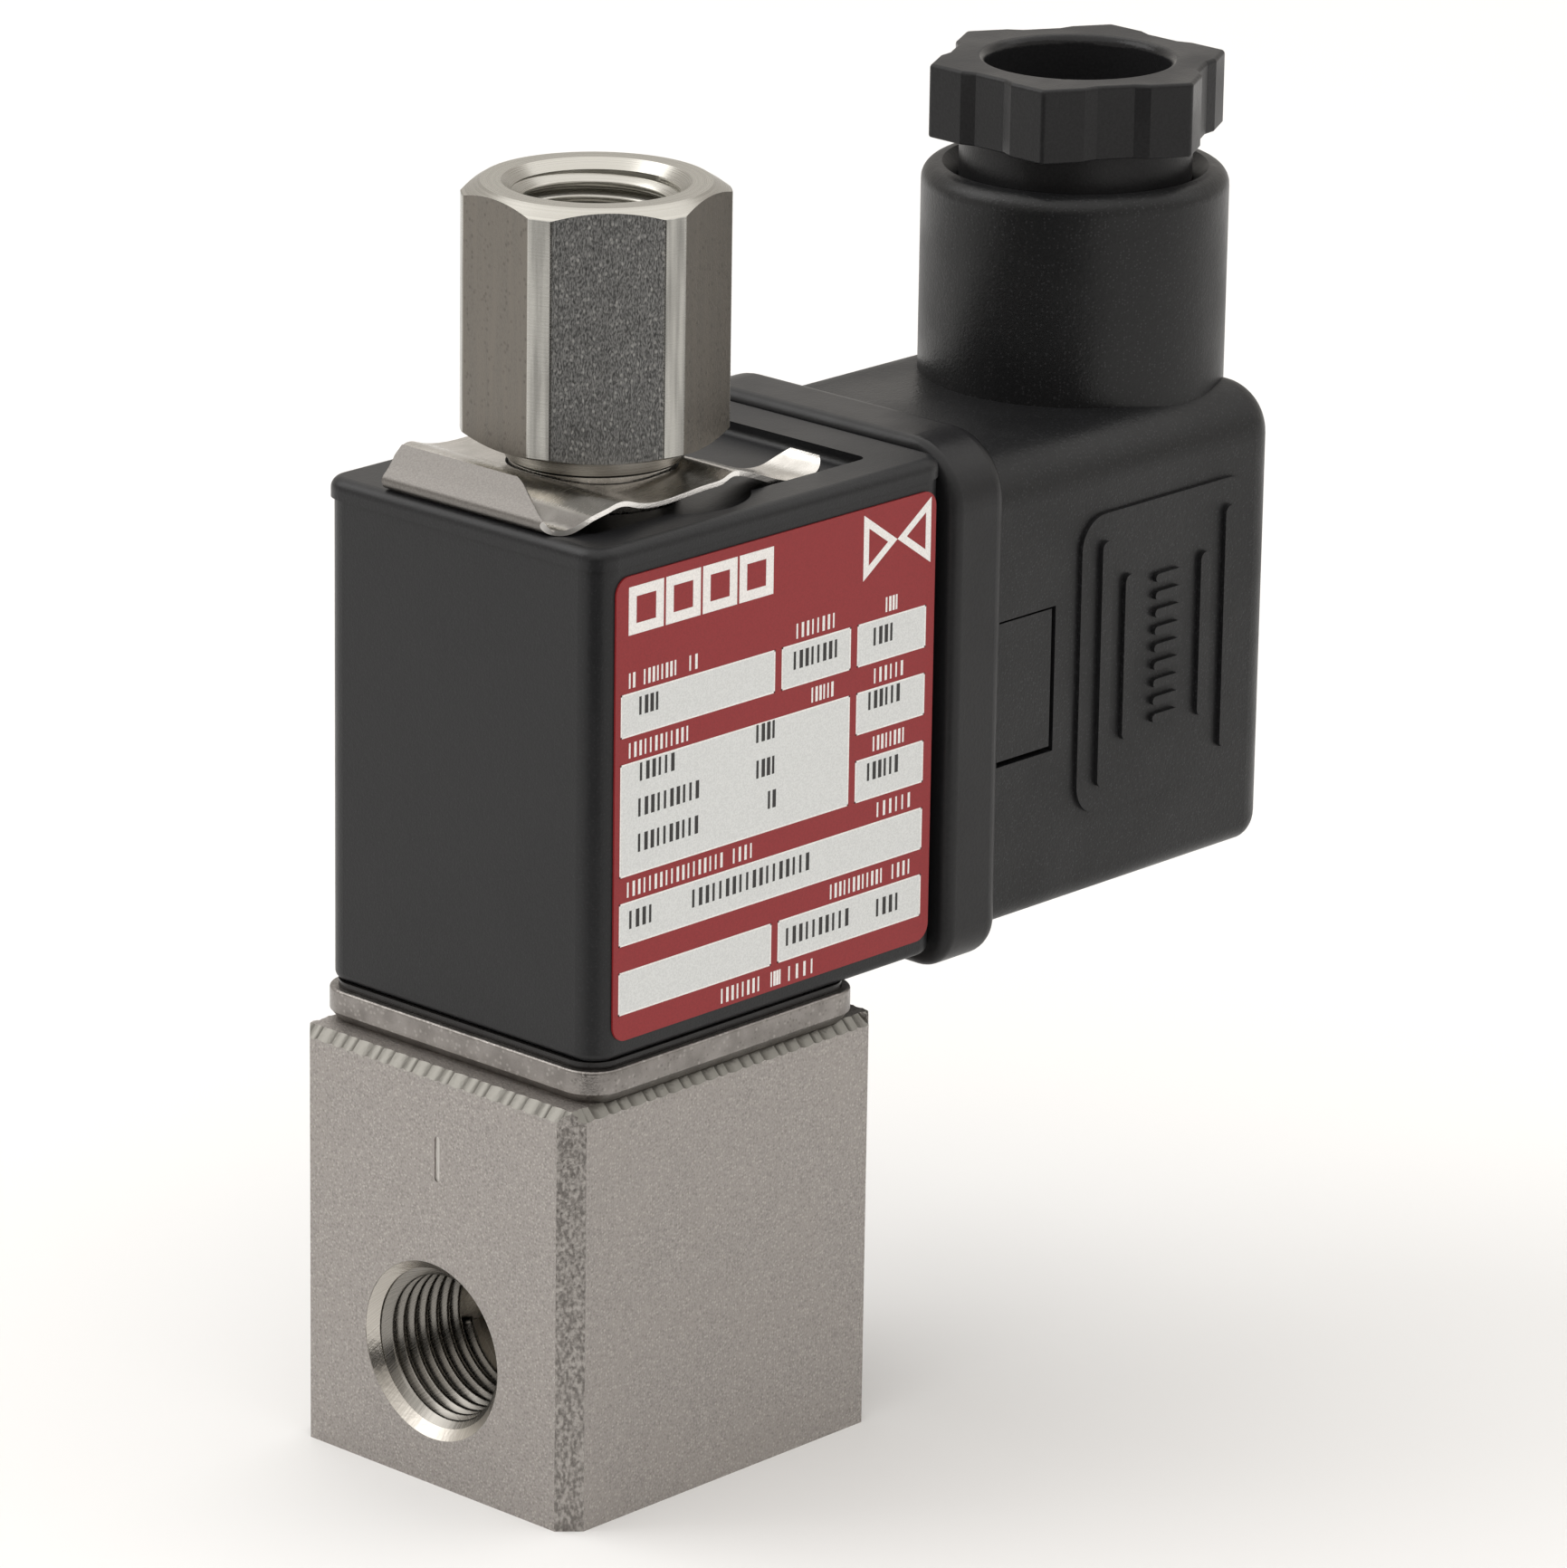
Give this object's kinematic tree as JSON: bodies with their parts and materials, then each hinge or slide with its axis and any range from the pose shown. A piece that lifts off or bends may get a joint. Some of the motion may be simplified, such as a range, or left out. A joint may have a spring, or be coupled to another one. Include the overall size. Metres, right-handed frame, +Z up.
{
  "type": "solenoid valve",
  "caption": "Direct-acting three-way solenoid valve: steel ported body, square coil with name plate, spring clip, hex exhaust port and plug connector with an upright cable gland.",
  "frame": {"origin": "centre of the valve body's underside, on the plunger axis", "axes": "+Z up the plunger axis to the exhaust port, +X from the coil towards the electrical connector, name plate on the -Y face"},
  "size_m": [0.0636, 0.0234, 0.0765],
  "materials": {
    "blasted_steel": "bead-blasted stainless steel",
    "plate_steel": "tumbled stainless steel",
    "turned_steel": "turned stainless steel, dull rolled flats",
    "core_steel": "ground magnetic stainless steel",
    "spring_steel": "bright rolled strip",
    "zinc_steel": "zinc plated",
    "copper": "copper: enamelled wire and shading ring",
    "contact_brass": "tin-plated brass",
    "coil_black": "moulded, fine eggshell",
    "connector_black": "fine matte texture",
    "nut_black": "smooth satin",
    "bobbin_plastic": "natural nylon",
    "rubber_black": "moulded rubber",
    "seal_ruby": "moulded elastomer",
    "label_red": "printed film, semi-gloss"
  },
  "bodies": {
    "valve": {"valve_body": "blasted_steel", "flange_plate": "plate_steel", "core_tube": "turned_steel", "body_o_ring": "rubber_black", "fixed_core": "core_steel", "shading_ring": "copper", "exhaust_adaptor": "turned_steel", "adaptor_o_ring": "rubber_black"},
    "plunger": {"plunger": "core_steel", "lower_seal": "seal_ruby", "upper_seal": "seal_ruby", "plunger_spring": "spring_steel"},
    "coil": {"coil_housing": "coil_black", "coil_bobbin": "bobbin_plastic", "coil_winding": "copper", "yoke": "zinc_steel", "terminal_line_a": "contact_brass", "terminal_line_b": "contact_brass", "terminal_earth": "contact_brass", "name_plate": "label_red", "coil_base_seal": "rubber_black", "coil_clip": "spring_steel", "connector_gasket": "rubber_black", "connector_housing": "connector_black", "terminal_block": "connector_black", "contact_line_a": "contact_brass", "contact_line_b": "contact_brass", "contact_earth": "contact_brass", "clamp_screw_line_a": "zinc_steel", "clamp_screw_line_b": "zinc_steel", "clamp_screw_earth": "zinc_steel", "fixing_screw": "zinc_steel", "screw_seal": "rubber_black", "cable_grommet": "rubber_black"},
    "gland_washer": {"gland_washer": "bobbin_plastic"},
    "gland_nut": {"gland_nut": "nut_black"}
  },
  "joints": [
    {"name": "plunger_stroke", "type": "slide", "parent": "valve", "child": "plunger", "axis": [0, 0, 1], "range_m": [0, 0.0006], "stiffness_N_per_m": 800, "springref_m": -0.004, "deforming": ["plunger_spring"]},
    {"name": "coil_swivel", "type": "hinge", "parent": "valve", "child": "coil", "pos_m": [0, 0, 0.04], "axis": [0, 0, 1], "continuous": true},
    {"name": "gland_washer_travel", "type": "slide", "parent": "coil", "child": "gland_washer", "axis": [0, 0, 1], "range_m": [-0.0012, 0], "deforming": ["cable_grommet"]},
    {"name": "gland_nut_turn", "type": "hinge", "parent": "gland_washer", "child": "gland_nut", "pos_m": [0.0413, 0, 0.072], "axis": [0, 0, 1], "range_deg": [-288, 0]}
  ],
  "couplings": [
    {"joint": "gland_washer_travel", "follows": "gland_nut_turn", "m_per_rad": 0.00023873}
  ]
}
